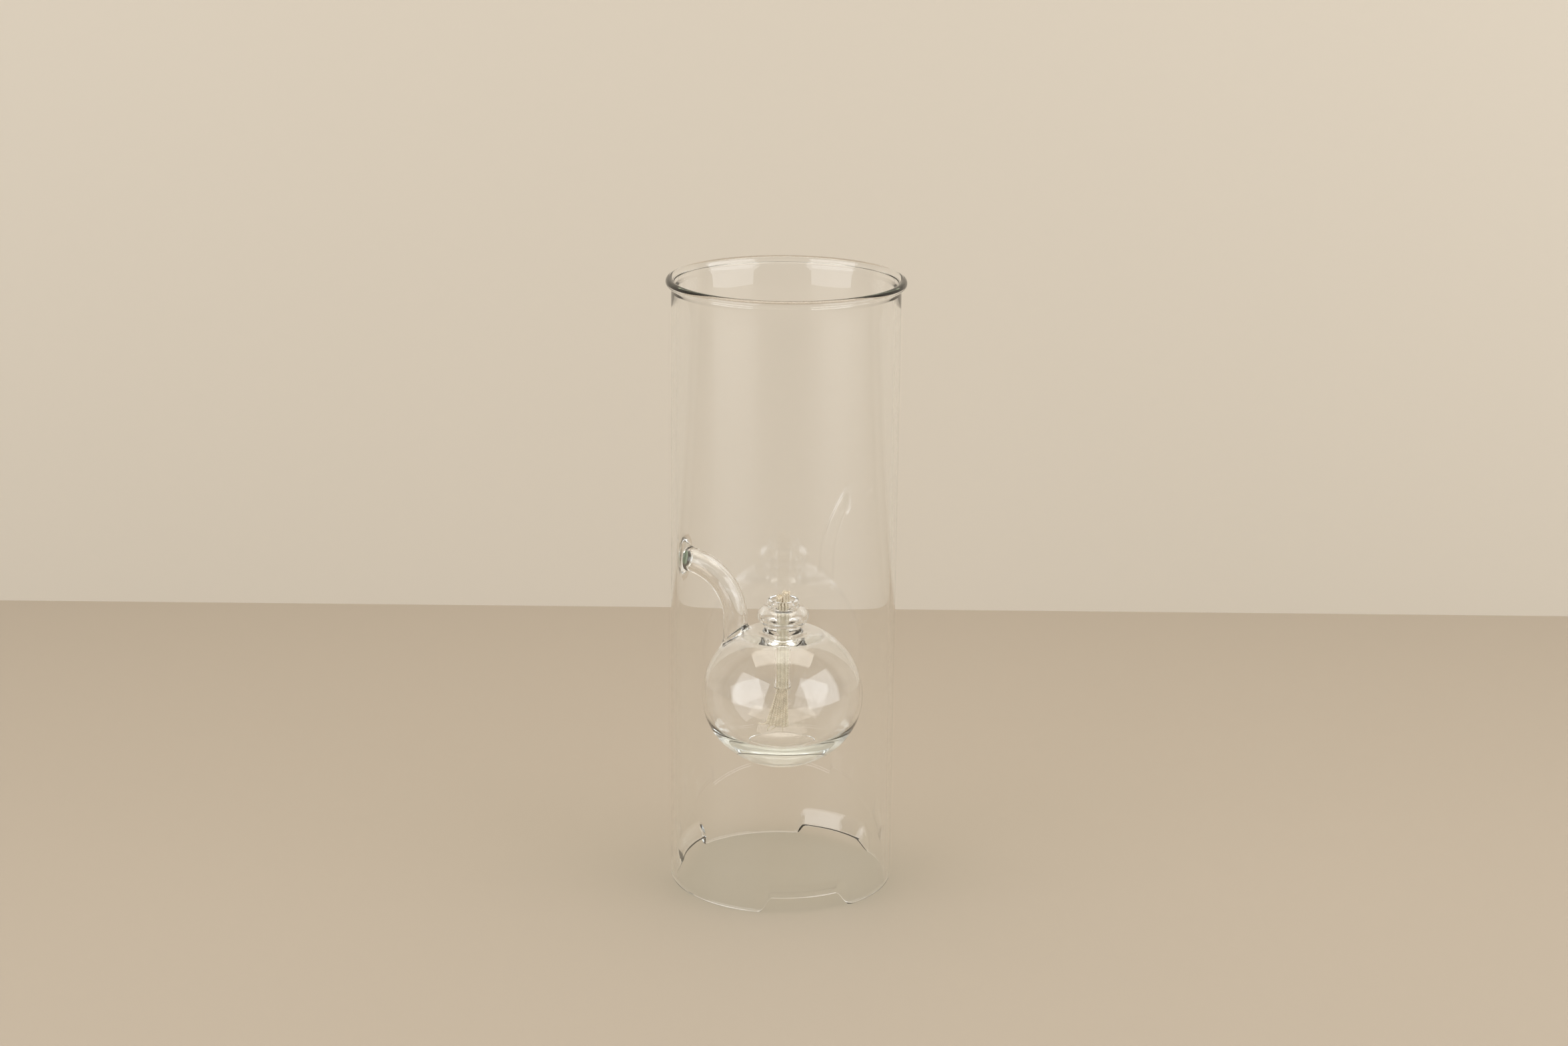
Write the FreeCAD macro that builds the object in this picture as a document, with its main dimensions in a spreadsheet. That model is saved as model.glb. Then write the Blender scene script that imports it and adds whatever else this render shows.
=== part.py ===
"""Glass oil lamp: a chimney that carries a fused reservoir on a bent arm, with a lift-out burner and wick.

Millimetres, +Z up, origin on the chimney's axis in the plane that its feet stand on, arm towards -X.
"""
import FreeCAD, Part
import Sketcher
import os
from FreeCAD import Placement, Rotation, Vector

SIZES = {
    # chimney
    "chimney_diameter": 100, "chimney_wall": 2.5, "chimney_height": 276,
    "rim_bead_thickness": 3.5, "rim_bead_overhang": 2.4, "rim_band_height": 10, "rim_flare_height": 4.4,
    "foot_band_height": 18, "foot_edge_round": 0.8,
    "vent_turn_back": 73, "vent_turn_left": 180, "vent_turn_front": 301, "vent_span": 44,
    "vent_clear_height": 5.5, "vent_bend_height": 11.5, "vent_lip_depth": 3.4,
    # arm and the seal that joins it to the chimney wall
    "arm_height": 145.2, "arm_diameter": 11, "arm_wall": 1.8, "arm_reach": 22.4,
    "seal_diameter": 23, "seal_proud": 1.6, "flare_diameter": 17.4, "flare_tip_diameter": 12.4,
    "flare_length": 4,
    "arm_weld_bead": 4.4, "arm_weld_offset": 0.8,
    # reservoir
    "reservoir_radius": 36.2, "reservoir_half_height": 32.9, "reservoir_wall": 1.7,
    "reservoir_centre_height": 86.2,
    # neck
    "pad_diameter": 30.4, "pad_thickness": 2.6, "neck_fillet": 1.8,
    "neck_diameter": 16, "neck_bore": 13, "bulge_diameter": 23, "bulge_height": 12.7, "bulge_wall": 2.2,
    "bulge_rise": 6.9, "mouth_rise": 4.4,
    # burner
    "burner_diameter": 7.5, "burner_wall": 0.9, "burner_reach": 24.4, "burner_end_round": 0.4,
    "cup_diameter": 14.3, "cup_depth": 5.2, "cup_mouth": 10.8, "cup_bowl_depth": 3.6, "cup_rise": 1.3,
    "cup_rim_rise": 2.1, "cup_clearance": 0.25,
    # wick
    "wick_clearance": 0.25, "wick_thickness": 2, "wick_turn": 17, "wick_crown_width": 5.9,
    "wick_crown_thickness": 3.6, "crown_base_rise": 0.7, "crown_high": 5.8, "crown_low": 3.6,
    "crown_round": 0.7, "tail_left": 8.1, "tail_right": 3.6, "tail_long": 20.5, "tail_short": 17.5,
    "thread_thickness": 0.6, "thread_length": 4.2,
    # fuel
    "fuel_drop": 8.2, "fuel_gap": 0.05,
}

doc = FreeCAD.newDocument("oil_lamp")
sheet = doc.addObject("Spreadsheet::Sheet", "sizes")
for row, (alias, number) in enumerate(SIZES.items(), start=1):
    sheet.set("A%d" % row, alias.replace("_", " "))
    sheet.set("B%d" % row, str(number))
    sheet.setAlias("B%d" % row, alias)
doc.recompute()

# Derived sizes, as expressions on the sheet's aliases
CHIMNEY_R = "sizes.chimney_diameter / 2"
CHIMNEY_BORE_R = "(sizes.chimney_diameter / 2 - sizes.chimney_wall)"
RIM_BASE = "(sizes.chimney_height - sizes.rim_band_height)"
RIM_OUT_R = "(sizes.chimney_diameter / 2 + sizes.rim_bead_overhang)"
PAD_TOP = ("(sizes.reservoir_centre_height + sizes.reservoir_half_height"
           " * sqrt(1 - (sizes.pad_diameter / 2 / sizes.reservoir_radius)^2))")
PAD_BASE = "(%s - sizes.pad_thickness)" % PAD_TOP
BULGE_Z = "(%s + sizes.bulge_rise)" % PAD_TOP
MOUTH_Z = "(%s + sizes.mouth_rise)" % BULGE_Z
CUP_Z = "(%s + sizes.cup_rise)" % MOUTH_Z
CUP_TOP = "(%s + sizes.cup_rim_rise)" % CUP_Z
BURNER_END = "(%s - sizes.burner_reach)" % PAD_BASE
CROWN_BASE = "(%s + sizes.crown_base_rise)" % CUP_Z
ARM_DROP = "(sizes.reservoir_half_height * sqrt(1 - (sizes.arm_reach / sizes.reservoir_radius)^2))"
ARM_BEND_R = "(sizes.chimney_diameter / 2 - sizes.chimney_wall / 2 - sizes.arm_reach)"
ARM_CENTRE_X = "-(sizes.arm_reach + %s)" % ARM_BEND_R
ARM_CENTRE_Z = "(sizes.arm_height - %s)" % ARM_BEND_R
BURNER_BORE_R = "(sizes.burner_diameter / 2 - sizes.burner_wall)"
WICK_R = "(%s - sizes.wick_clearance)" % BURNER_BORE_R
FUEL_TOP = "(%s - sizes.tail_long - sizes.fuel_drop)" % BURNER_END

ALONG_MINUS_X = Rotation(Vector(0, 1, 0), -90)


def bind(item, **expressions):
    """Bind an object's properties to the sheet; Base_z stands for Placement.Base.z, and so on."""
    for name, expression in expressions.items():
        if name.startswith("Base_"):
            name = "Placement.Base." + name[-1]
        item.setExpression(name, expression)
    return item


def primitive(kind, label, turn=None, **expressions):
    """A Part primitive with its sizes and its place on the sheet."""
    item = doc.addObject("Part::" + kind, label)
    item.Label = label
    if turn is not None:
        item.Placement = Placement(Vector(0, 0, 0), turn)
    return bind(item, **expressions)


def cut(label, base, tool):
    item = doc.addObject("Part::Cut", label)
    item.Label = label
    item.Base = base
    item.Tool = tool
    return item


def fuse(label, shapes):
    item = doc.addObject("Part::MultiFuse", label)
    item.Label = label
    item.Shapes = shapes
    return item


def common(label, base, tool):
    item = doc.addObject("Part::Common", label)
    item.Label = label
    item.Base = base
    item.Tool = tool
    return item


def new_body(label):
    body = doc.addObject("PartDesign::Body", label)
    body.Label = label
    return body


def origin_item(body, role):
    """One of the body's own origin planes or axes, by its role."""
    for item in body.Origin.OriginFeatures:
        if item.Role == role:
            return item
    raise ValueError("no origin item " + role)


def outline(body, label, plane, corners, turn=None):
    """A closed outline of straight lines; every corner is two expressions, across and up the plane."""
    sketch = body.newObject("Sketcher::SketchObject", label)
    sketch.AttachmentSupport = [(origin_item(body, plane), "")]
    sketch.MapMode = "FlatFace"
    if turn is not None:
        sketch.AttachmentOffset = Placement(Vector(0, 0, 0), Rotation(Vector(0, 1, 0), 1))
        sketch.setExpression("AttachmentOffset.Rotation.Angle", turn)
    count = len(corners)
    # the corners start anywhere apart from each other, and the constraints then place them
    start = [Vector(30 + 9 * (k % 3), 5 * k, 0) for k in range(count)]
    for k in range(count):
        sketch.addGeometry(Part.LineSegment(start[k], start[(k + 1) % count]), False)
    for k in range(count):
        sketch.addConstraint(Sketcher.Constraint("Coincident", k, 2, (k + 1) % count, 1))
    for k, (across, up) in enumerate(corners):
        for kind, letter, expression, rough in (("DistanceX", "x", across, start[k].x),
                                                ("DistanceY", "y", up, start[k].y)):
            index = sketch.addConstraint(Sketcher.Constraint(kind, -1, 1, k, 1, rough + 0.01))
            name = "corner_%d_%s" % (k, letter)
            sketch.renameConstraint(index, name)
            sketch.setExpression("Constraints." + name, expression)
    return sketch


def lathe(body, label, corners, kind="Revolution", middle=None, span=None):
    """Turn an outline in the XZ plane about Z, all the way round or only over a span about a middle angle."""
    sketch = outline(body, label + "_outline", "XZ_Plane", corners, middle)
    turn = body.newObject("PartDesign::" + kind, label)
    turn.Profile = sketch
    turn.ReferenceAxis = (origin_item(body, "Z_Axis"), [""])
    turn.Angle = 360
    if span is not None:
        turn.Midplane = True
        turn.setExpression("Angle", span)
    doc.recompute()
    return turn


def round_edges(body, label, base, radius, wanted):
    """Fillet the edges of base for which wanted(edge) holds."""
    names = ["Edge%d" % (k + 1) for k, edge in enumerate(base.Shape.Edges) if wanted(edge)]
    fillet = body.newObject("PartDesign::Fillet", label)
    fillet.Base = (base, names)
    fillet.setExpression("Radius", radius)
    doc.recompute()
    return fillet


def level_ring(low, high):
    """A test for round edges that lie level with their height between low and high."""
    def wanted(edge):
        box = edge.BoundBox
        return box.ZLength < 1e-6 and low < box.ZMin < high and box.XLength > 1
    return wanted


def chimney_tube():
    """The long wall between the foot and the rim, with the round hole that the arm's seal closes."""
    body = new_body("chimney_tube")
    lathe(body, "tube_wall", [(CHIMNEY_BORE_R, "sizes.foot_band_height"), (CHIMNEY_R, "sizes.foot_band_height"),
                              (CHIMNEY_R, RIM_BASE), (CHIMNEY_BORE_R, RIM_BASE)])
    hole_sketch = body.newObject("Sketcher::SketchObject", "seal_hole_outline")
    hole_sketch.AttachmentSupport = [(origin_item(body, "YZ_Plane"), "")]
    hole_sketch.MapMode = "FlatFace"
    hole_sketch.addGeometry(Part.Circle(Vector(0, 140, 0), Vector(0, 0, 1), 10), False)
    hole_sketch.addConstraint(Sketcher.Constraint("PointOnObject", 0, 3, -2))
    height = hole_sketch.addConstraint(Sketcher.Constraint("DistanceY", -1, 1, 0, 3, 140))
    hole_sketch.renameConstraint(height, "height")
    hole_sketch.setExpression("Constraints.height", "sizes.arm_height")
    width = hole_sketch.addConstraint(Sketcher.Constraint("Diameter", 0, 20))
    hole_sketch.renameConstraint(width, "width")
    hole_sketch.setExpression("Constraints.width", "sizes.seal_diameter")
    hole = body.newObject("PartDesign::Pocket", "seal_hole")
    hole.Profile = hole_sketch
    hole.Type = "ThroughAll"
    doc.recompute()
    return body


def chimney_rim():
    """The top of the wall, flared a little and rolled into a round bead."""
    body = new_body("chimney_rim")
    top = "sizes.chimney_height"
    bead_base = "sizes.chimney_height - sizes.rim_bead_thickness"
    bead_in = RIM_OUT_R + " - sizes.rim_bead_thickness"
    flare = "sizes.chimney_height - sizes.rim_flare_height"
    wall = lathe(body, "rim_wall", [(CHIMNEY_BORE_R, RIM_BASE), (CHIMNEY_R, RIM_BASE), (CHIMNEY_R, flare),
                                    (RIM_OUT_R, bead_base), (RIM_OUT_R, top), (bead_in, top),
                                    (CHIMNEY_BORE_R, flare)])
    low = sheet.chimney_height - sheet.rim_bead_thickness - 0.1
    wide = sheet.chimney_diameter

    def bead_edge(edge):
        box = edge.BoundBox
        return box.ZLength < 1e-6 and box.ZMin > low and (box.ZMin > low + 1 or box.XLength > wide + 1)
    round_edges(body, "rim_bead", wall, "sizes.rim_bead_thickness * 0.47", bead_edge)
    return body


def chimney_foot():
    """The bottom of the wall: a rounded edge, pushed in and up at each air vent."""
    body = new_body("chimney_foot")
    inner = CHIMNEY_BORE_R
    wall = lathe(body, "foot_wall", [(inner, "0"), (CHIMNEY_R, "0"), (CHIMNEY_R, "sizes.foot_band_height"),
                                     (inner, "sizes.foot_band_height")])
    round_edges(body, "foot_edge", wall, "sizes.foot_edge_round", level_ring(-0.1, 0.1))
    edge_z = "sizes.vent_clear_height"
    knee_z = "sizes.vent_clear_height + (sizes.vent_bend_height - sizes.vent_clear_height) / 2"
    gap = [(inner + " - 1", "-1"), (CHIMNEY_R + " + 1", "-1"), (CHIMNEY_R + " + 1", "sizes.vent_bend_height"),
           (inner + " - 1", "sizes.vent_bend_height")]
    lip = [(inner, "sizes.vent_bend_height"), (CHIMNEY_R, "sizes.vent_bend_height"),
           (CHIMNEY_R + " - 0.8", knee_z), (CHIMNEY_R + " - sizes.vent_lip_depth", edge_z),
           (inner + " - sizes.vent_lip_depth", edge_z + " + 1"), (inner + " - 0.8", knee_z + " + 0.6")]
    for side in ("back", "left", "front"):
        middle = "sizes.vent_turn_" + side
        lathe(body, "vent_gap_" + side, gap, kind="Groove", middle=middle, span="sizes.vent_span")
        body.Tip = lathe(body, "vent_lip_" + side, lip, middle=middle, span="sizes.vent_span")
    return body


def reservoir_ball(label, inset="0"):
    """The reservoir's round form, or a smaller one set in from it all over."""
    return primitive("Ellipsoid", label, Radius1="sizes.reservoir_half_height - (%s)" % inset,
                     Radius2="sizes.reservoir_radius - (%s)" % inset, Base_z="sizes.reservoir_centre_height")


def arm_solid(label, inset):
    """The arm without its bore, or the bore: a quarter bend from the wall, then straight down."""
    radius = "sizes.arm_diameter / 2 - (%s)" % inset
    bend = primitive("Torus", label + "_bend", turn=Rotation(Vector(1, 0, 0), 90), Radius1=ARM_BEND_R,
                     Radius2=radius, Base_x=ARM_CENTRE_X, Base_z=ARM_CENTRE_Z)
    bend.Angle3 = 90
    leg = primitive("Cylinder", label + "_leg", Radius=radius, Base_x="-sizes.arm_reach",
                    Base_z="sizes.reservoir_centre_height",
                    Height=ARM_CENTRE_Z + " - sizes.reservoir_centre_height")
    return fuse(label, [bend, leg])


def arm_tube():
    hollow = cut("arm_hollow", arm_solid("arm_outside", "0"), arm_solid("arm_bore", "sizes.arm_wall"))
    return cut("arm_tube", hollow, reservoir_ball("arm_seat"))


def wall_seal():
    """The disc that closes the chimney wall round the arm's root, with its flare on the inside."""
    disc = primitive("Cylinder", "seal_disc", turn=ALONG_MINUS_X, Radius="sizes.seal_diameter / 2",
                     Height="sizes.chimney_diameter", Base_z="sizes.arm_height")
    shell_out = primitive("Cylinder", "seal_shell_outside", Radius=CHIMNEY_R + " + sizes.seal_proud",
                          Height="sizes.chimney_height")
    shell_in = primitive("Cylinder", "seal_shell_inside", Radius=CHIMNEY_BORE_R, Height="sizes.chimney_height")
    patch = common("seal_patch", disc, cut("seal_shell", shell_out, shell_in))
    flare = primitive("Cone", "seal_flare", turn=ALONG_MINUS_X, Radius1="sizes.flare_tip_diameter / 2",
                      Radius2="sizes.flare_diameter / 2", Height="sizes.flare_length",
                      Base_x="-" + CHIMNEY_BORE_R + " + sizes.flare_length - 0.9", Base_z="sizes.arm_height")
    return cut("wall_seal", fuse("seal_whole", [patch, flare]), arm_solid("seal_socket", "0"))


def arm_weld():
    """The swollen ring of glass where the arm stands on the reservoir's shoulder."""
    slope = ("atan(sizes.arm_reach * sizes.reservoir_half_height^2"
             " / (sizes.reservoir_radius^2 * %s))" % ARM_DROP)
    bead = primitive("Torus", "arm_weld_bead", Radius1="sizes.arm_diameter / 2 + sizes.arm_weld_offset",
                     Radius2="sizes.arm_weld_bead / 2", Base_x="-sizes.arm_reach",
                     Base_z="sizes.reservoir_centre_height + " + ARM_DROP)
    bead.Placement = Placement(Vector(0, 0, 0), Rotation(Vector(0, -1, 0), 1))
    bead.setExpression("Placement.Rotation.Angle", slope)
    clear_of_ball = cut("arm_weld_ring", bead, reservoir_ball("arm_weld_seat"))
    return cut("arm_weld", clear_of_ball, arm_solid("arm_weld_bore", "0"))


def reservoir_bulb():
    inside = reservoir_ball("bulb_inside", "sizes.reservoir_wall")
    shell = cut("bulb_shell", reservoir_ball("bulb_outside"), inside)
    pad_hole = primitive("Cylinder", "pad_hole", Radius="sizes.pad_diameter / 2",
                         Height="sizes.reservoir_half_height", Base_z="sizes.reservoir_centre_height")
    arm_hole = primitive("Cylinder", "arm_hole", Radius="sizes.arm_diameter / 2 - sizes.arm_wall",
                         Height="sizes.reservoir_half_height", Base_x="-sizes.arm_reach",
                         Base_z="sizes.reservoir_centre_height")
    return cut("reservoir_bulb", shell, fuse("bulb_holes", [pad_hole, arm_hole]))


def neck_pad():
    """The flat ring of glass that joins the neck to the top of the reservoir."""
    body = new_body("neck_pad")
    neck = "sizes.neck_diameter / 2"
    rim = "sizes.pad_diameter / 2"
    lathe(body, "pad_ring", [(neck, PAD_BASE), (rim, PAD_BASE), (rim, PAD_TOP),
                             (neck + " + sizes.neck_fillet", PAD_TOP),
                             (neck, PAD_TOP + " + sizes.neck_fillet * 0.9")])
    return body


def reservoir_neck():
    """The short neck with its round bulge, open at the top, where the burner's cup sits."""
    top = MOUTH_Z
    bulge = primitive("Ellipsoid", "bulge_outside", Radius1="sizes.bulge_height / 2",
                      Radius2="sizes.bulge_diameter / 2", Base_z=BULGE_Z)
    waist = primitive("Cylinder", "waist_outside", Radius="sizes.neck_diameter / 2", Base_z=PAD_BASE,
                      Height=BULGE_Z + " - " + PAD_BASE)
    hollow = primitive("Ellipsoid", "bulge_inside", Radius1="sizes.bulge_height / 2 - sizes.bulge_wall",
                       Radius2="sizes.bulge_diameter / 2 - sizes.bulge_wall", Base_z=BULGE_Z)
    bore = primitive("Cylinder", "neck_bore", Radius="sizes.neck_bore / 2", Base_z=PAD_BASE,
                     Height=top + " - " + PAD_BASE)
    above = primitive("Cylinder", "above_mouth", Radius="sizes.bulge_diameter / 2", Base_z=top,
                      Height="sizes.bulge_height")
    seat = cup_ball("burner_seat", "sizes.cup_clearance")
    solid = fuse("neck_solid", [bulge, waist])
    return cut("reservoir_neck", solid, fuse("neck_hollow", [hollow, bore, above, seat]))


def cup_ball(label, grown="0"):
    """The cup's round outside, or a larger one that stands off it all over."""
    return primitive("Ellipsoid", label, Radius1="sizes.cup_depth + %s" % grown,
                     Radius2="sizes.cup_diameter / 2 + %s" % grown, Base_z=CUP_Z)


def burner_tube():
    """The straight tube that the wick runs in, hung from the cup into the reservoir."""
    body = new_body("burner_barrel")
    outside = "sizes.burner_diameter / 2"
    wall = lathe(body, "barrel_wall", [(BURNER_BORE_R, BURNER_END), (outside, BURNER_END), (outside, CUP_Z),
                                       (BURNER_BORE_R, CUP_Z)])
    end = wall.Shape.BoundBox.ZMin
    round_edges(body, "barrel_end", wall, "sizes.burner_end_round", level_ring(end - 0.1, end + 0.1))
    return cut("burner_tube", body, cup_ball("burner_top"))


def burner_cup():
    """The small open cup that rests in the neck's mouth and carries the tube."""
    bowl = primitive("Ellipsoid", "cup_bowl", Radius1="sizes.cup_bowl_depth", Radius2="sizes.cup_mouth / 2",
                     Base_z=CUP_Z)
    bore = primitive("Cylinder", "cup_bore", Radius=BURNER_BORE_R, Height="sizes.cup_depth",
                     Base_z=CUP_Z + " - sizes.cup_depth")
    mouth = primitive("Cylinder", "cup_mouth_bore", Radius="sizes.cup_mouth / 2", Height="sizes.cup_depth",
                      Base_z=CUP_Z)
    above = primitive("Cylinder", "above_cup", Radius="sizes.cup_diameter", Height="sizes.cup_depth * 2",
                      Base_z=CUP_TOP)
    return cut("burner_cup", cup_ball("cup_outside"), fuse("cup_hollow", [bowl, bore, mouth, above]))


def wick_slab(label, corners, thickness):
    """A flat piece of wick, upright in the plane that the tape lies in."""
    body = new_body(label)
    sketch = outline(body, label + "_outline", "XZ_Plane", corners)
    pad = body.newObject("PartDesign::Pad", label + "_tape")
    pad.Profile = sketch
    pad.Midplane = True
    pad.setExpression("Length", thickness)
    body.Placement = Placement(Vector(0, 0, 0), Rotation(Vector(0, 0, 1), 1))
    body.setExpression("Placement.Rotation.Angle", "sizes.wick_turn")
    doc.recompute()
    return body, pad


def wick_stem():
    return primitive("Cylinder", "wick_stem", Radius=WICK_R, Base_z=BURNER_END,
                     Height=CROWN_BASE + " - " + BURNER_END)


def wick_crown():
    """The cut end of the wick, which stands out of the cup as a high lobe and a low one."""
    half = "sizes.wick_crown_width / 2"
    high = CUP_Z + " + sizes.crown_high"
    low = CUP_Z + " + sizes.crown_low"
    corners = [("-" + half, CROWN_BASE), (half, CROWN_BASE), (half, high), ("-0.4", high), ("-1.1", low),
               ("-" + half, low)]
    body, pad = wick_slab("wick_crown", corners, "sizes.wick_crown_thickness")

    def upright(edge):
        box = edge.BoundBox
        wide = sheet.wick_crown_width / 2 - 0.01
        return box.ZLength > 1 and box.XLength < 1e-6 and abs(box.XMin) > wide
    round_edges(body, "crown_corners", pad, "sizes.crown_round", upright)
    return body


def wick_tail():
    """The flat tape below the burner's tube, which spreads to one side."""
    body, _ = wick_slab("wick_tail", [("-" + WICK_R, BURNER_END),
                                        ("-sizes.tail_left", BURNER_END + " - sizes.tail_short"),
                                        ("sizes.tail_right", BURNER_END + " - sizes.tail_long"),
                                        (WICK_R, BURNER_END)], "sizes.wick_thickness")
    return body


def wick_threads(tail):
    """Three loose ends of yarn: where each leaves the tape, how far it leans and its share of the length."""
    low_edge = "-(sizes.tail_short + sizes.tail_long) / 2"
    places = (("-(sizes.tail_left - 0.6)", "-sizes.tail_short + 0.4", 50, 1),
              ("-sizes.tail_left / 2", low_edge + " + 1", 25, 1),
              ("sizes.tail_right / 4", "-sizes.tail_long + 1.4", 30, 0.6))
    strands = []
    for k, (across, up, lean, share) in enumerate(places):
        turn = Rotation(Vector(0, 0, 1), sheet.wick_turn) * Rotation(Vector(0, 1, 0), 180 + lean)
        strands.append(primitive("Cylinder", "strand_%d" % (k + 1), turn=turn,
                                 Radius="sizes.thread_thickness / 2", Height="sizes.thread_length * %s" % share,
                                 Base_x="%s * cos(sizes.wick_turn)" % across,
                                 Base_y="%s * sin(sizes.wick_turn)" % across,
                                 Base_z=BURNER_END + " + (" + up + ")"))
    return cut("wick_threads", fuse("strands", strands), tail)


def lamp_fuel():
    """The pool of lamp oil in the bottom of the reservoir."""
    pool = reservoir_ball("fuel_ball", "sizes.reservoir_wall + sizes.fuel_gap")
    above = primitive("Cylinder", "above_fuel", Radius="sizes.reservoir_radius",
                      Height="2 * sizes.reservoir_half_height", Base_z=FUEL_TOP)
    return cut("lamp_fuel", pool, above)


def check(pieces):
    """Stop with a plain message if any object has failed or any piece is not one or more valid solids."""
    for item in doc.Objects:
        if "Invalid" in item.State or "Error" in item.State:
            raise RuntimeError("object %s is in state %s" % (item.Label, item.State))
    for piece in pieces:
        shape = piece.Shape
        if shape.isNull() or not shape.isValid() or not shape.Solids:
            raise RuntimeError("piece %s has no valid solid" % piece.Label)


def main():
    makers = (chimney_tube, chimney_rim, chimney_foot, wall_seal, arm_tube, arm_weld, reservoir_bulb, neck_pad,
              reservoir_neck, burner_tube, burner_cup, wick_stem, wick_crown, lamp_fuel)
    pieces = [make() for make in makers]
    tail = wick_tail()
    pieces += [tail, wick_threads(tail)]
    doc.recompute()
    check(pieces)
    os.makedirs("parts", exist_ok=True)
    for piece in pieces:
        piece.Shape.exportStep("parts/%s.step" % piece.Label)
        box = piece.Shape.BoundBox
        print("%-16s solids %d  volume %9.1f  x %6.1f %6.1f  y %6.1f %6.1f  z %6.1f %6.1f" % (
            piece.Label, len(piece.Shape.Solids), piece.Shape.Volume,
            box.XMin, box.XMax, box.YMin, box.YMax, box.ZMin, box.ZMax))


main()
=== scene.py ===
"""Looks of the glass oil lamp: flame-worked glass, a woven cotton wick and a little lamp oil."""
import math
import random
import bmesh
import bpy
from mathutils import Matrix, Vector


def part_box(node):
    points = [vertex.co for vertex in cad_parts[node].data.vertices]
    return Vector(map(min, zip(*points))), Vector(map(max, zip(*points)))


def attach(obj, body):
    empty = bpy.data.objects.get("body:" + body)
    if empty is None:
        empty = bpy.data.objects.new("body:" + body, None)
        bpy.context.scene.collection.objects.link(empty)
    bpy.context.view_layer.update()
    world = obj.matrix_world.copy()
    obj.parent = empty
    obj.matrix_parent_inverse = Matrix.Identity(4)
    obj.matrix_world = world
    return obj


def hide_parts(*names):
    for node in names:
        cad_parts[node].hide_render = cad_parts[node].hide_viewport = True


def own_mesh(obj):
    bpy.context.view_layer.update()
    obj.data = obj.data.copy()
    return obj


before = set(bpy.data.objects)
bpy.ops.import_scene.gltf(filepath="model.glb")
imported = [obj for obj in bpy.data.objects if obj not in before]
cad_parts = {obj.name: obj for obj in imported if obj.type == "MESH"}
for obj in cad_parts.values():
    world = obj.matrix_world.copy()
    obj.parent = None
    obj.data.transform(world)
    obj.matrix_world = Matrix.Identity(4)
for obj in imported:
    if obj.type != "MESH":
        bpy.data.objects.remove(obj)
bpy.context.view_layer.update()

MM = 0.001
TURN = 2 * math.pi
CREASE = math.radians(42)
GLASS_TINT = (0.84, 0.92, 0.87)
GLASS_DEPTH = 9.0


def node_box(name):
    """A CAD node's lowest and highest corners, in millimetres."""
    low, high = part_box(name)
    return low / MM, high / MM


# Sizes in millimetres, from the frame's own nodes
TUBE_R = node_box("chimney_tube")[1].x
RIM_R = node_box("chimney_rim")[1].x
TOP_Z = node_box("chimney_rim")[1].z
FOOT_TOP = node_box("chimney_foot")[1].z
BALL_R = node_box("reservoir_bulb")[1].x
BALL_BASE = node_box("reservoir_bulb")[0].z
PAD_R = node_box("neck_pad")[1].x
PAD_BASE = node_box("neck_pad")[0].z
BULGE_R = node_box("reservoir_neck")[1].x
MOUTH_Z = node_box("reservoir_neck")[1].z
CUP_R = node_box("burner_cup")[1].x
CUP_TOP = node_box("burner_cup")[1].z
BURNER_R = node_box("burner_tube")[1].x
BURNER_END = node_box("burner_tube")[0].z
STEM_R = node_box("wick_stem")[1].x
OIL_TOP = node_box("lamp_fuel")[1].z
ARM_TOP = node_box("arm_tube")[1].z
ARM_RIGHT = node_box("arm_tube")[1].x
ARM_ROOT = node_box("arm_tube")[0].x

# Walls and small shapes that the frame's boxes don't give, in millimetres and degrees
TUBE_WALL = 2.5
BALL_WALL = 1.7
BALL_HALF = 32.9
ARM_R = 5.5
ARM_BORE_R = 3.7
PAD_TOP = 116.06
NECK_R = 8.0
NECK_BORE_R = 6.5
BULGE_HALF = 6.35
BALL_Z = BALL_BASE + BALL_HALF
BULGE_Z = PAD_TOP + 6.9
CUP_Z = MOUTH_Z + 1.3
ARM_X = ARM_R - ARM_RIGHT
ARM_Z = ARM_TOP - ARM_R
BEND_R = abs(ARM_ROOT) - ARM_X
LEG_TOP = ARM_Z - BEND_R
BURNER_WALL = 0.9
SEAL_R = 11.5
SEAL_RISE = 1.6
SEAL_HOLE = 8.7
SEAL_BAND_LOW = 130
SEAL_BAND_HIGH = 160
FLARE_DEPTH = 4.0
WELD_RISE = 2.5
MOUTH_R = ARM_BORE_R + 0.8
MOUTH_RISE = 0.9
RIM_BEAD_R = 1.75
RIM_DROP = 6
BOTTOM_EXTRA = 3.6
BOTTOM_START = 8
BOTTOM_REACH = 22
OIL_LEVEL = OIL_TOP + 1.4
VENT_TURNS = (73, 180, 301)
VENT_SPAN = 44
VENT_EDGE = 6
VENT_RISE = 5.5
VENT_PUSH = 3.4
VENT_BEND = 11.5


def arc(centre_r, centre_z, radius_r, radius_z, start, end, steps):
    """Points along part of an ellipse in the turning plane; angles in degrees, 0 is outwards and 90 is up."""
    points = []
    for k in range(steps + 1):
        angle = math.radians(start + (end - start) * k / steps)
        points.append((centre_r + radius_r * math.cos(angle), centre_z + radius_z * math.sin(angle)))
    return points


def run(start, end, steps):
    """Evenly spaced points on a straight line, without its two ends."""
    return [(start[0] + (end[0] - start[0]) * k / steps, start[1] + (end[1] - start[1]) * k / steps)
            for k in range(1, steps)]


def rounded(start, corner, end, steps):
    """Points along a soft corner, without its first point."""
    points = []
    for k in range(1, steps + 1):
        share = k / steps
        a = (1 - share) ** 2
        b = 2 * share * (1 - share)
        c = share ** 2
        points.append((start[0] * a + corner[0] * b + end[0] * c, start[1] * a + corner[1] * b + end[1] * c))
    return points


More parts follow.
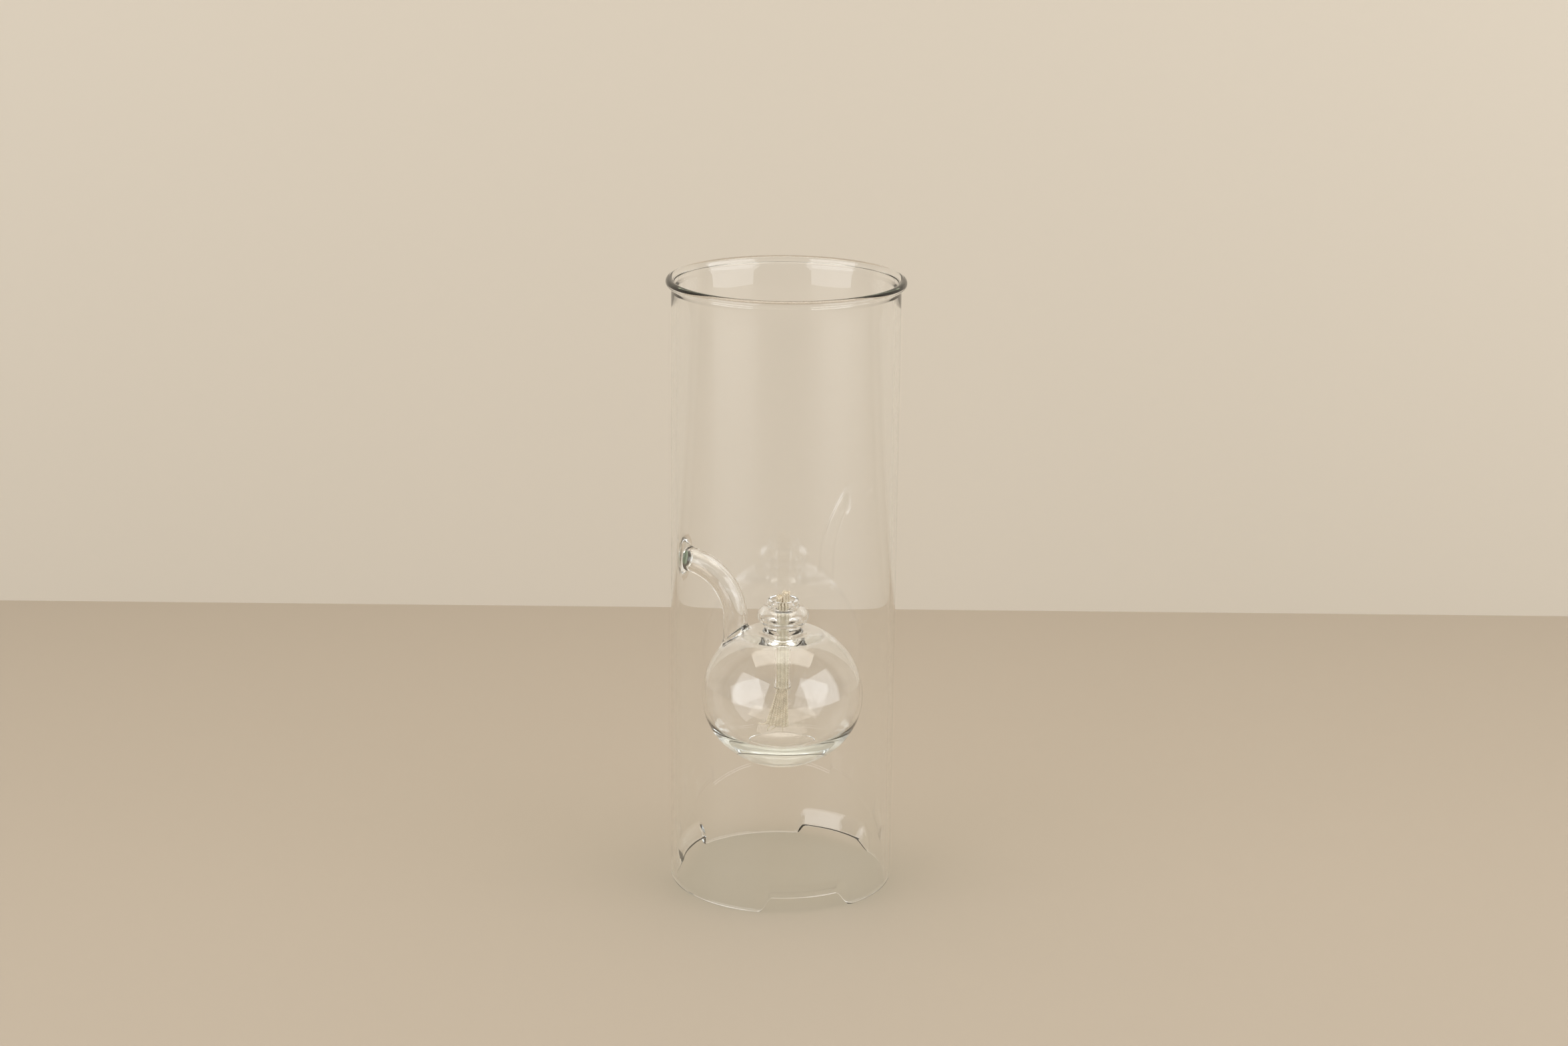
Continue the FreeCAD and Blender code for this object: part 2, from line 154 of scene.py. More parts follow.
def turned(mesh, outline, steps, closed=False):
    """Spin an outline of (radius, height) points about the Z axis."""
    verts = [mesh.verts.new((r, 0, z)) for r, z in outline]
    edges = [mesh.edges.new((a, b)) for a, b in zip(verts, verts[1:])]
    if closed:
        edges.append(mesh.edges.new((verts[-1], verts[0])))
    bmesh.ops.spin(mesh, geom=verts + edges, cent=(0, 0, 0), axis=(0, 0, 1), dvec=(0, 0, 0),
                   angle=TURN, steps=steps, use_merge=True)
    bmesh.ops.remove_doubles(mesh, verts=mesh.verts, dist=1e-4)


def ease(value):
    """A share from 0 to 1 that starts and ends softly."""
    value = min(max(value, 0.0), 1.0)
    return value * value * (3 - 2 * value)


def blend(start, end, share):
    return start + (end - start) * share


def ring(mesh, place, count=48):
    """A ring of edges; the rule gives each point from its angle round the ring."""
    verts = bmesh.ops.create_circle(mesh, cap_ends=False, segments=count, radius=1)["verts"]
    for vert in verts:
        vert.co = place(math.atan2(vert.co.y, vert.co.x))
    return list({edge for vert in verts for edge in vert.link_edges})


def sleeve(mesh, rings):
    """Bridge a row of rings, one after the other."""
    for before, after in zip(rings, rings[1:]):
        bmesh.ops.bridge_loops(mesh, edges=before + after)


def open_hole(mesh, inside, onto):
    """Cut a round hole: take out the vertices that pass the test, then move the hole's edge by the rule."""
    before = {edge for edge in mesh.edges if edge.is_boundary}
    gone = [vert for vert in mesh.verts if inside(vert.co)]
    bmesh.ops.delete(mesh, geom=gone, context="VERTS")
    bmesh.ops.delete(mesh, geom=[edge for edge in mesh.edges if edge.is_wire], context="EDGES")
    bmesh.ops.delete(mesh, geom=[vert for vert in mesh.verts if not vert.link_faces], context="VERTS")
    edges = [edge for edge in mesh.edges if edge.is_boundary and edge not in before]
    for vert in {vert for edge in edges for vert in edge.verts}:
        vert.co = onto(vert.co)


def join_into(mesh, part):
    """Add a smaller mesh to a larger one; the smaller one is used up."""
    data = bpy.data.meshes.new("joined")
    part.to_mesh(data)
    part.free()
    mesh.from_mesh(data)
    bpy.data.meshes.remove(data)


def open_loop(mesh, inside):
    """The open edges whose first end passes the test."""
    return [edge for edge in mesh.edges if edge.is_boundary and inside(edge.verts[0].co)]


def finish_piece(name, mesh, body, material, nodes):
    """Turn a mesh in millimetres into a piece of the lamp."""
    bmesh.ops.recalc_face_normals(mesh, faces=mesh.faces)
    for edge in mesh.edges:
        if edge.calc_face_angle(0) > CREASE:
            edge.smooth = False
    bmesh.ops.scale(mesh, vec=(MM, MM, MM), verts=mesh.verts)
    data = bpy.data.meshes.new(name)
    mesh.to_mesh(data)
    mesh.free()
    for face in data.polygons:
        face.use_smooth = True
    data.materials.append(material)
    piece = bpy.data.objects.new(name, data)
    bpy.context.scene.collection.objects.link(piece)
    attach(piece, body)
    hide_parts(*nodes)
    return piece


def ball_height(x, y, inset=0.0):
    """Height of the reservoir's upper surface, or of the one set in from it, above a point of the plan."""
    share = 1 - (x * x + y * y) / (BALL_R - inset) ** 2
    return BALL_Z + (BALL_HALF - inset) * math.sqrt(max(share, 0.0))


# ---------------------------------------------------------------- materials

def clear_glass(name, tint, depth):
    """Clear glass or oil that passes shadow and soft light rays, so that what is inside gets its light."""
    material = bpy.data.materials.new(name)
    material.use_nodes = True
    tree = material.node_tree
    tree.nodes.clear()
    out = tree.nodes.new("ShaderNodeOutputMaterial")
    glass = tree.nodes.new("ShaderNodeBsdfPrincipled")
    glass.inputs["Base Color"].default_value = (1, 1, 1, 1)
    glass.inputs["Roughness"].default_value = 0.0
    glass.inputs["Transmission Weight"].default_value = 1.0
    glass.inputs["IOR"].default_value = 1.474
    clear = tree.nodes.new("ShaderNodeBsdfTransparent")
    facing = tree.nodes.new("ShaderNodeLayerWeight")
    facing.inputs["Blend"].default_value = 0.35
    shade = tree.nodes.new("ShaderNodeMix")
    shade.data_type = "RGBA"
    shade.inputs["A"].default_value = (0.99, 0.995, 0.99, 1)
    shade.inputs["B"].default_value = (0.75, 0.77, 0.75, 1)
    path = tree.nodes.new("ShaderNodeLightPath")
    mix = tree.nodes.new("ShaderNodeMixShader")
    tree.links.new(facing.outputs["Facing"], shade.inputs["Factor"])
    tree.links.new(shade.outputs["Result"], clear.inputs["Color"])
    lit = tree.nodes.new("ShaderNodeMath")
    lit.operation = "MAXIMUM"
    tree.links.new(path.outputs["Is Shadow Ray"], lit.inputs[0])
    tree.links.new(path.outputs["Is Diffuse Ray"], lit.inputs[1])
    tree.links.new(lit.outputs["Value"], mix.inputs["Fac"])
    tree.links.new(glass.outputs["BSDF"], mix.inputs[1])
    tree.links.new(clear.outputs["BSDF"], mix.inputs[2])
    tree.links.new(mix.outputs["Shader"], out.inputs["Surface"])
    absorb = tree.nodes.new("ShaderNodeVolumeAbsorption")
    absorb.inputs["Color"].default_value = (*tint, 1)
    absorb.inputs["Density"].default_value = depth
    tree.links.new(absorb.outputs["Volume"], out.inputs["Volume"])
    return material


def drawn_streaks():
    """The faint waviness of drawn and blown glass: gives a bumped normal."""
    group = bpy.data.node_groups.new("drawn_streaks", "ShaderNodeTree")
    group.interface.new_socket("Normal", in_out="OUTPUT", socket_type="NodeSocketVector")
    where = group.nodes.new("ShaderNodeTexCoord")
    stretch = group.nodes.new("ShaderNodeMapping")
    stretch.inputs["Scale"].default_value = (1.0, 1.0, 0.12)
    waves = group.nodes.new("ShaderNodeTexNoise")
    waves.inputs["Scale"].default_value = 90
    waves.inputs["Detail"].default_value = 1
    bump = group.nodes.new("ShaderNodeBump")
    bump.inputs["Strength"].default_value = 0.25
    bump.inputs["Distance"].default_value = 0.00006
    ends = group.nodes.new("NodeGroupOutput")
    group.links.new(where.outputs["Object"], stretch.inputs["Vector"])
    group.links.new(stretch.outputs["Vector"], waves.inputs["Vector"])
    group.links.new(waves.outputs["Fac"], bump.inputs["Height"])
    group.links.new(bump.outputs["Normal"], ends.inputs["Normal"])
    return group


def seal_painted_shade():
    """Painted dark green shade where the arm's bore ends at the seal, standing in for the dark look of the
    thick glass seen end on; the rest stays clear.
    """
    group = bpy.data.node_groups.new("seal_painted_shade", "ShaderNodeTree")
    group.interface.new_socket("Color", in_out="OUTPUT", socket_type="NodeSocketColor")
    where = group.nodes.new("ShaderNodeTexCoord")
    off = group.nodes.new("ShaderNodeVectorMath")
    off.operation = "DISTANCE"
    off.inputs[1].default_value = (-(ARM_X + BEND_R) * MM, 0, ARM_Z * MM)
    share = group.nodes.new("ShaderNodeMapRange")
    share.inputs["From Min"].default_value = 0.0036
    share.inputs["From Max"].default_value = 0.0050
    tint = group.nodes.new("ShaderNodeMix")
    tint.data_type = "RGBA"
    # painted shade: the dark green near the seal's middle is given to the glass's colour and does not come
    # from its thickness
    tint.inputs["A"].default_value = (0.10, 0.26, 0.17, 1)
    tint.inputs["B"].default_value = (1, 1, 1, 1)
    ends = group.nodes.new("NodeGroupOutput")
    group.links.new(where.outputs["Object"], off.inputs[0])
    group.links.new(off.outputs["Value"], share.inputs["Value"])
    group.links.new(share.outputs["Result"], tint.inputs["Factor"])
    group.links.new(tint.outputs["Result"], ends.inputs["Color"])
    return group


def add_streaks(material):
    tree = material.node_tree
    streaks = tree.nodes.new("ShaderNodeGroup")
    streaks.node_tree = drawn_streaks()
    tree.links.new(streaks.outputs["Normal"], tree.nodes["Principled BSDF"].inputs["Normal"])


# Puts the painted dark green shade at the seal into the glass's colour.
def add_seal_shade(material):
    tree = material.node_tree
    shade = tree.nodes.new("ShaderNodeGroup")
    shade.node_tree = seal_painted_shade()
    tree.links.new(shade.outputs["Color"], tree.nodes["Principled BSDF"].inputs["Base Color"])


def plain(name, colour, roughness):
    material = bpy.data.materials.new(name)
    material.use_nodes = True
    shader = material.node_tree.nodes["Principled BSDF"]
    shader.inputs["Base Color"].default_value = (*colour, 1)
    shader.inputs["Roughness"].default_value = roughness
    return material


def fibre_group():
    """Fine fibres along the yarn: gives a shade from 0 to 1 and a bumped normal."""
    group = bpy.data.node_groups.new("fibres", "ShaderNodeTree")
    group.interface.new_socket("Shade", in_out="OUTPUT", socket_type="NodeSocketFloat")
    group.interface.new_socket("Normal", in_out="OUTPUT", socket_type="NodeSocketVector")
    where = group.nodes.new("ShaderNodeTexCoord")
    stretch = group.nodes.new("ShaderNodeMapping")
    stretch.inputs["Scale"].default_value = (1.0, 1.0, 0.35)
    fine = group.nodes.new("ShaderNodeTexNoise")
    fine.inputs["Scale"].default_value = 4200
    fine.inputs["Detail"].default_value = 3
    fine.inputs["Roughness"].default_value = 0.7
    broad = group.nodes.new("ShaderNodeTexNoise")
    broad.inputs["Scale"].default_value = 420
    broad.inputs["Detail"].default_value = 2
    both = group.nodes.new("ShaderNodeMath")
    both.operation = "MULTIPLY_ADD"
    both.inputs[1].default_value = 0.6
    bump = group.nodes.new("ShaderNodeBump")
    bump.inputs["Strength"].default_value = 0.7
    bump.inputs["Distance"].default_value = 0.00015
    ends = group.nodes.new("NodeGroupOutput")
    group.links.new(where.outputs["Object"], stretch.inputs["Vector"])
    group.links.new(stretch.outputs["Vector"], fine.inputs["Vector"])
    group.links.new(where.outputs["Object"], broad.inputs["Vector"])
    group.links.new(broad.outputs["Fac"], both.inputs[0])
    group.links.new(fine.outputs["Fac"], both.inputs[2])
    group.links.new(fine.outputs["Fac"], bump.inputs["Height"])
    group.links.new(both.outputs["Value"], ends.inputs["Shade"])
    group.links.new(bump.outputs["Normal"], ends.inputs["Normal"])
    return group


def cotton():
    material = bpy.data.materials.new("cotton_yarn")
    material.use_nodes = True
    tree = material.node_tree
    shader = tree.nodes["Principled BSDF"]
    fibres = tree.nodes.new("ShaderNodeGroup")
    fibres.node_tree = fibre_group()
    ramp = tree.nodes.new("ShaderNodeValToRGB")
    ramp.color_ramp.elements[0].position = 0.45
    ramp.color_ramp.elements[0].color = (0.50, 0.41, 0.29, 1)
    ramp.color_ramp.elements[1].position = 1.0
    ramp.color_ramp.elements[1].color = (0.88, 0.77, 0.61, 1)
    shader.inputs["Roughness"].default_value = 0.92
    shader.inputs["Sheen Weight"].default_value = 0.35
    shader.inputs["Sheen Roughness"].default_value = 0.5
    tree.links.new(fibres.outputs["Shade"], ramp.inputs["Fac"])
    tree.links.new(ramp.outputs["Color"], shader.inputs["Base Color"])
    tree.links.new(fibres.outputs["Normal"], shader.inputs["Normal"])
    return material


# ---------------------------------------------------------------- glass pieces

def chimney_outline():
    """Closed outline of the chimney's wall, from the foot up the outside and down the inside."""
    inner = TUBE_R - TUBE_WALL
    half = TUBE_WALL / 2
    bead = RIM_BEAD_R
    lip = RIM_R - bead
    levels = ((half, 0), (FOOT_TOP, 16), (SEAL_BAND_LOW, 14), (SEAL_BAND_HIGH, 22), (TOP_Z - RIM_DROP, 14))
    outside = []
    inside = []
    for (low, _), (high, steps) in zip(levels, levels[1:]):
        outside += run((TUBE_R, low), (TUBE_R, high), steps) + [(TUBE_R, high)]
        inside += run((inner, low), (inner, high), steps) + [(inner, high)]
    inside.reverse()
    foot = arc(TUBE_R - half, half, half, half, -180, 0, 10)
    rim = [(TUBE_R + 0.05, TOP_Z - 5), (TUBE_R + 0.3, TOP_Z - 4), (TUBE_R + 0.9, TOP_Z - 3.2)]
    rim += arc(lip, TOP_Z - bead, bead, bead, -60, 180, 14)
    rim += [(lip - bead - 0.15, TOP_Z - 2.6), (lip - bead - 0.75, TOP_Z - 3.9), (inner + 0.12, TOP_Z - 5.2)]
    return foot + outside + rim + inside


def thick_bottom(height):
    """Raise the reservoir's inside surface near its bottom, where the glass has gathered."""
    return height + BOTTOM_EXTRA * ease((BALL_Z - BOTTOM_START - height) / BOTTOM_REACH)


def reservoir_outline():
    """Outline of the reservoir: outside from the bottom to the neck's mouth, then back down the inside."""
    shoulder = PAD_R + 2.8
    pad_angle = math.degrees(math.acos(shoulder / BALL_R))
    outside = arc(0, BALL_Z, BALL_R, BALL_HALF, -90, pad_angle, 72)
    pad = rounded(outside[-1], (PAD_R + 0.27, PAD_TOP), (PAD_R - 3.7, PAD_TOP), 12)
    fillet = arc(NECK_R + 1.8, PAD_TOP + 1.6, 1.8, 1.6, -90, -180, 8)
    low = math.degrees(math.acos((NECK_R + 0.35) / BULGE_R))
    bulge = arc(0, BULGE_Z, BULGE_R, BULGE_HALF, -low, 40, 30)
    lip = arc(7.6, MOUTH_Z - 0.9, 1.1, 0.9, 55, 180, 8)
    throat = [(NECK_BORE_R, MOUTH_Z - 1.6)] + run((NECK_BORE_R, MOUTH_Z - 1.6), (NECK_BORE_R, BULGE_Z + 3), 3)
    hollow = arc(0, BULGE_Z, BULGE_R - 2.2, BULGE_HALF - 2.2, 44, -44, 18)
    bore = run((NECK_BORE_R, BULGE_Z - 3.2), (NECK_BORE_R, PAD_BASE + 0.5), 7)
    under = arc(NECK_BORE_R + 0.6, PAD_BASE + 0.6, 0.6, 0.6, 180, 270, 5)
    inner_r = BALL_R - BALL_WALL
    inner_half = BALL_HALF - BALL_WALL
    below = PAD_R + 4.3
    meet = math.degrees(math.acos(below / inner_r))
    lower = (below, BALL_Z + inner_half * math.sin(math.radians(meet)))
    flat = rounded((PAD_R - 3.2, PAD_BASE), (PAD_R + 1.85, PAD_BASE), lower, 12)[:-1]
    inside = [(r, thick_bottom(z)) for r, z in arc(0, BALL_Z, inner_r, inner_half, meet, -90, 70)]
    points = outside + pad + fillet + bulge + lip + throat + hollow + bore + under + flat + inside
    points[0] = (0.0, BALL_BASE)
    points[-1] = (0.0, thick_bottom(BALL_BASE + BALL_WALL))
    return points


def burner_outline():
    """Closed outline of the burner: a small cup on a straight tube."""
    bore = BURNER_R - BURNER_WALL
    cup_depth = 5.2
    top = math.degrees(math.asin((CUP_TOP - 0.35 - CUP_Z) / cup_depth))
    tube_angle = -math.degrees(math.acos((BURNER_R + 0.5) / CUP_R))
    half = BURNER_WALL / 2
    end = arc(BURNER_R - half, BURNER_END + half, half, half, -180, 0, 8)
    outside = run((BURNER_R, BURNER_END + half), (BURNER_R, CUP_Z - cup_depth + 0.6), 16)
    cup = arc(0, CUP_Z, CUP_R, cup_depth, tube_angle, top, 22)
    lip = arc(6.05, CUP_TOP - 0.55, 0.6, 0.55, 20, 180, 8)
    bowl = arc(0, CUP_Z, 5.4, 3.6, 10, -57, 14)
    inside = [(bore, CUP_Z - 3.4)] + run((bore, CUP_Z - 3.4), (bore, BURNER_END + half), 16)
    return end + outside + cup + lip + bowl + inside


def press_vents(mesh):
    """Push the foot up and in at the three air vents."""
    for vert in mesh.verts:
        height = vert.co.z
        if height > FOOT_TOP:
            continue
        turn = math.degrees(math.atan2(vert.co.y, vert.co.x))
        share = 0.0
        for middle in VENT_TURNS:
            off = abs((turn - middle + 180) % 360 - 180)
            share = max(share, ease((VENT_SPAN / 2 + VENT_EDGE / 2 - off) / VENT_EDGE))
        radius = math.hypot(vert.co.x, vert.co.y)
        pushed = radius - VENT_PUSH * share * ease(1 - height / VENT_BEND)
        vert.co.x *= pushed / radius
        vert.co.y *= pushed / radius
        vert.co.z += VENT_RISE * share * (1 - height / FOOT_TOP)


def swell_seal(mesh):
    """Swell the outside of the chimney's wall where it is closed round the arm."""
    for vert in mesh.verts:
        radius = math.hypot(vert.co.x, vert.co.y)
        off = math.hypot(vert.co.y, vert.co.z - ARM_Z)
        if vert.co.x < 0 and off < SEAL_R and TUBE_R - 0.1 < radius < TUBE_R + 0.1:
            swell = SEAL_RISE * ease((SEAL_R - off) / SEAL_R)
            vert.co.x *= (radius + swell) / radius
            vert.co.y *= (radius + swell) / radius


def on_bend(angle, radius, round_angle):
    """A point on the arm's bend; 90 degrees is at the chimney's wall and 0 is above the straight leg."""
    way = Vector((math.cos(math.radians(angle)), 0, math.sin(math.radians(angle))))
    middle = Vector((-ARM_X - BEND_R, 0, LEG_TOP)) + way * BEND_R
    return middle + way * (radius * math.sin(round_angle)) + Vector((0, radius * math.cos(round_angle), 0))


def weld_radius(turn):
    """The weld's radius is smaller on the side of the neck's pad."""
    return 7.6 - 0.7 * math.sin(turn)


def arm_outside():
    """The arm's outer skin: a flare off the chimney's wall, the bend, the straight leg and the weld."""
    mesh = bmesh.new()
    inner = TUBE_R - TUBE_WALL
    rings = []
    for k in range(1, 9):
        u = math.pi / 2 * k / 8
        radius = SEAL_HOLE - (SEAL_HOLE - ARM_R) * math.sin(u)
        depth = FLARE_DEPTH * (1 - math.cos(u))
        angle = 90 - math.degrees((depth + ARM_X + BEND_R - inner) / BEND_R)

        def flare(turn, radius=radius, depth=depth, angle=angle):
            point = on_bend(angle, radius, turn)
            point.x += (inner - math.sqrt(inner ** 2 - point.y ** 2)) * (1 - depth / FLARE_DEPTH)
            return point
        rings.append(ring(mesh, flare))
    begin = 90 - math.degrees((FLARE_DEPTH + ARM_X + BEND_R - inner) / BEND_R)
    for k in range(1, 37):
        rings.append(ring(mesh, lambda turn, k=k: on_bend(begin * (1 - k / 36), ARM_R, turn)))
    for k in range(1, 4):
        def leg(turn, share=k / 4):
            x = -ARM_X + ARM_R * math.sin(turn)
            y = ARM_R * math.cos(turn)
            return Vector((x, y, blend(LEG_TOP, ball_height(x, y) + WELD_RISE, share)))
        rings.append(ring(mesh, leg))
    for k in range(0, 8):
        u = math.pi / 2 * k / 8

        def weld(turn, u=u):
            radius = blend(ARM_R, weld_radius(turn), 1 - math.cos(u))
            x = -ARM_X + radius * math.sin(turn)
            y = radius * math.cos(turn)
            return Vector((x, y, ball_height(x, y) + WELD_RISE * (1 - math.sin(u))))
        rings.append(ring(mesh, weld))
    sleeve(mesh, rings)
    return mesh


def arm_inside():
    """The arm's bore: open to the reservoir at the bottom, and closed by the seal at the chimney's wall."""
    mesh = bmesh.new()
    rings = []
    for k in range(1, 6):
        u = math.pi / 2 * k / 5

        def mouth(turn, u=u):
            radius = ARM_BORE_R + (MOUTH_R - ARM_BORE_R) * (1 - math.sin(u))
            x = -ARM_X + radius * math.sin(turn)
            y = radius * math.cos(turn)
            return Vector((x, y, ball_height(x, y, BALL_WALL) + MOUTH_RISE * (1 - math.cos(u))))
        rings.append(ring(mesh, mouth))
    for k in range(1, 6):
        def leg(turn, share=k / 5):
            x = -ARM_X + ARM_BORE_R * math.sin(turn)
            y = ARM_BORE_R * math.cos(turn)
            return Vector((x, y, blend(ball_height(x, y, BALL_WALL) + MOUTH_RISE, LEG_TOP, share)))
        rings.append(ring(mesh, leg))
    for k in range(1, 37):
        rings.append(ring(mesh, lambda turn, k=k: on_bend(88.6 * k / 36, ARM_BORE_R, turn)))
    rings.append(ring(mesh, lambda turn: on_bend(89.4, ARM_BORE_R - 0.35, turn)))
    sleeve(mesh, rings)
    bmesh.ops.edgeloop_fill(mesh, edges=rings[-1])
    return mesh


def fused_glass(material):
    """Chimney, arm and reservoir, drawn as the one closed skin that the fused glass has."""
    inner = TUBE_R - TUBE_WALL
    mesh = bmesh.new()
    turned(mesh, chimney_outline(), 216, closed=True)
    press_vents(mesh)
    swell_seal(mesh)

    def in_seal(point):
        off = math.hypot(point.y, point.z - ARM_Z)
        return point.x < 0 and off < SEAL_HOLE - 0.2 and math.hypot(point.x, point.y) < inner + 0.2

    def to_seal(point):
        turn = math.atan2(point.z - ARM_Z, point.y)
        y = SEAL_HOLE * math.cos(turn)
        return Vector((-math.sqrt(inner ** 2 - y ** 2), y, ARM_Z + SEAL_HOLE * math.sin(turn)))

    open_hole(mesh, in_seal, to_seal)
    ball = bmesh.new()
    turned(ball, reservoir_outline(), 160)

    def on_ball(point, radius_rule, inset):
        turn = math.atan2(point.x + ARM_X, point.y)
        radius = radius_rule(turn)
        x = -ARM_X + radius * math.sin(turn)
        y = radius * math.cos(turn)
        return Vector((x, y, ball_height(x, y, inset)))

    def in_weld(point):
        off = math.hypot(point.x + ARM_X, point.y)
        turn = math.atan2(point.x + ARM_X, point.y)
        return off < weld_radius(turn) - 0.1 and point.z > ball_height(point.x, point.y) - 0.4

    def in_bore(point):
        off = math.hypot(point.x + ARM_X, point.y)
        outside = point.z > ball_height(point.x, point.y) - 0.8
        return off < MOUTH_R - 0.1 and point.z > BALL_Z and not outside

    open_hole(ball, in_weld, lambda point: on_ball(point, weld_radius, 0))
    open_hole(ball, in_bore, lambda point: on_ball(point, lambda turn: MOUTH_R, BALL_WALL))
    join_into(ball, arm_inside())
    bore_edges = open_loop(ball, lambda point: math.hypot(point.x + ARM_X, point.y) < MOUTH_R + 0.4)
    bmesh.ops.bridge_loops(ball, edges=bore_edges)
    join_into(mesh, arm_outside())
    bmesh.ops.bridge_loops(mesh, edges=open_loop(mesh, lambda point: point.x < -BALL_R))
    join_into(mesh, ball)
    bmesh.ops.bridge_loops(mesh, edges=open_loop(mesh, lambda point: True))
    return finish_piece("fused_glass", mesh, "lamp_glass", material,
                        ["chimney_tube", "chimney_rim", "chimney_foot", "wall_seal", "arm_tube", "arm_weld",
                         "reservoir_bulb", "neck_pad", "reservoir_neck"])


def burner_glass(material):
    mesh = bmesh.new()
    turned(mesh, burner_outline(), 96, closed=True)
    return finish_piece("burner_glass", mesh, "burner", material,
                        ["burner_tube", "burner_cup"])


def oil_pool(material):
    """The oil in the reservoir; its skin reaches a little way into the glass, so that no air gap shows."""
    soak = 0.2
    wall = arc(0, BALL_Z, BALL_R - BALL_WALL + soak, BALL_HALF - BALL_WALL + soak, -90, -20, 90)
    wet = [(r, thick_bottom(z)) for r, z in wall]
    wet = [(r, z) for r, z in wet if z < OIL_LEVEL - 0.25]
    reach = wet[-1][0]
    wet[0] = (0.0, wet[0][1])
    creep = [(reach + 0.25, OIL_LEVEL + 0.35), (reach - 0.35, OIL_LEVEL + 0.1), (reach - 1.1, OIL_LEVEL)]
    flat = [(reach * (1 - k / 24), OIL_LEVEL) for k in range(2, 25)]
    flat[-1] = (0.0, OIL_LEVEL)
    mesh = bmesh.new()
    turned(mesh, wet + creep + flat, 128)
    return finish_piece("lamp_oil", mesh, "lamp_glass", material, ["lamp_fuel"])


# ---------------------------------------------------------------- wick

ACROSS = Vector((math.cos(math.radians(17)), math.sin(math.radians(17)), 0))
FRONT = Vector((ACROSS.y, -ACROSS.x, 0))
UP = Vector((0, 0, 1))
TAIL_TOP = BURNER_END + 0.6
STITCH_ROW = 1.12
CROWN_YARNS = 16
GOLDEN_ANGLE = 2.39996


def stitch(mesh, place, along, out, length, width, depth):
    """One stitch of the braid: a small rounded bead of yarn that lies along a direction."""
    along = along.normalized()
    side = out.cross(along).normalized()
    out = along.cross(side)
    turn = Matrix((side, out, along)).transposed().to_4x4()
    size = Matrix.Diagonal((width / 2, depth / 2, length / 2, 1))
    bmesh.ops.create_uvsphere(mesh, u_segments=7, v_segments=5, radius=1,
                              matrix=Matrix.Translation(place) @ turn @ size)


def yarn(mesh, points, radius, count=6):
    """A loose yarn along a row of points, thinner at its end."""
    rings = []
    for k, point in enumerate(points):
        way = (points[min(k + 1, len(points) - 1)] - points[max(k - 1, 0)]).normalized()
        side = way.cross(FRONT).normalized()
        lift = side.cross(way)
        size = radius * (1 - 0.55 * k / (len(points) - 1))

        def place(turn, point=point, side=side, lift=lift, size=size):
            return point + (side * math.cos(turn) + lift * math.sin(turn)) * size
        rings.append(ring(mesh, place, count))
    for loop in (rings[0], rings[-1]):
        bmesh.ops.edgeloop_fill(mesh, edges=loop)
    sleeve(mesh, rings)


def tail_point(column, share, side):
    """A point on the spread tail: column -1 to 1 across it, share 0 to 1 down it, side 1 at the front."""
    spread = max(share, 0.0) ** 1.15
    middle = blend(0.0, -2.2, spread)
    half = blend(2.35, 5.45, spread)
    thick = blend(1.9, 0.55, min(share * 2.2, 1.0))
    drop = blend(0.0, 18.0, share) + share * (0.2 + 1.4 * (column + 1) / 2)
    out = side * thick * math.sqrt(max(1 - 0.9 * column * column, 0))
    wave = 0.35 * math.sin(2.4 * share + column * 1.3) * share
    return ACROSS * (middle + half * column) + FRONT * (out + wave) + UP * (TAIL_TOP - drop)


def wick_tail_piece(material):
    mesh = bmesh.new()
    rings = []
    for k in range(19):
        def place(turn, share=k / 18):
            column = math.cos(turn) * 0.97
            side = math.sin(turn)
            front = tail_point(column, share, 1)
            back = tail_point(column, share, -1)
            return blend(back, front, (side + 1) / 2)
        rings.append(ring(mesh, place, 28))
    for loop in (rings[0], rings[-1]):
        bmesh.ops.edgeloop_fill(mesh, edges=loop)
    sleeve(mesh, rings)
    rng = random.Random(5)
    columns = 7
    rows = 17
    for side in (1, -1):
        for k in range(columns):
            column = (2 * (k + 0.5) / columns - 1) * 0.96
            slant = 1 if k % 2 else -1
            strand = bmesh.new()
            for row in range(rows):
                share = (row + 0.5 + 0.25 * slant) / rows
                place = tail_point(column, min(share, 1.0), side)
                above = tail_point(column, share - 0.02, side)
                along = tail_point(column, min(share + 0.02, 1.02), side) - above
                step = tail_point(column + 0.08, share, side) - tail_point(column - 0.08, share, side)
                width = step.length / 0.16 * 2 / columns
                turn = slant * blend(0.55, 0.75, share)
                along = along.normalized() * math.cos(turn) + step.normalized() * math.sin(turn)
                along += Vector((rng.uniform(-1, 1), rng.uniform(-1, 1), rng.uniform(-1, 1))) * 0.07
                stitch(strand, place, along, FRONT * side, width * 1.22, width * 0.68, 0.75)
            join_into(mesh, strand)
    piece = finish_piece("wick_tail_braid", mesh, "wick", material, ["wick_tail"])
    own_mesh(piece)
    return piece


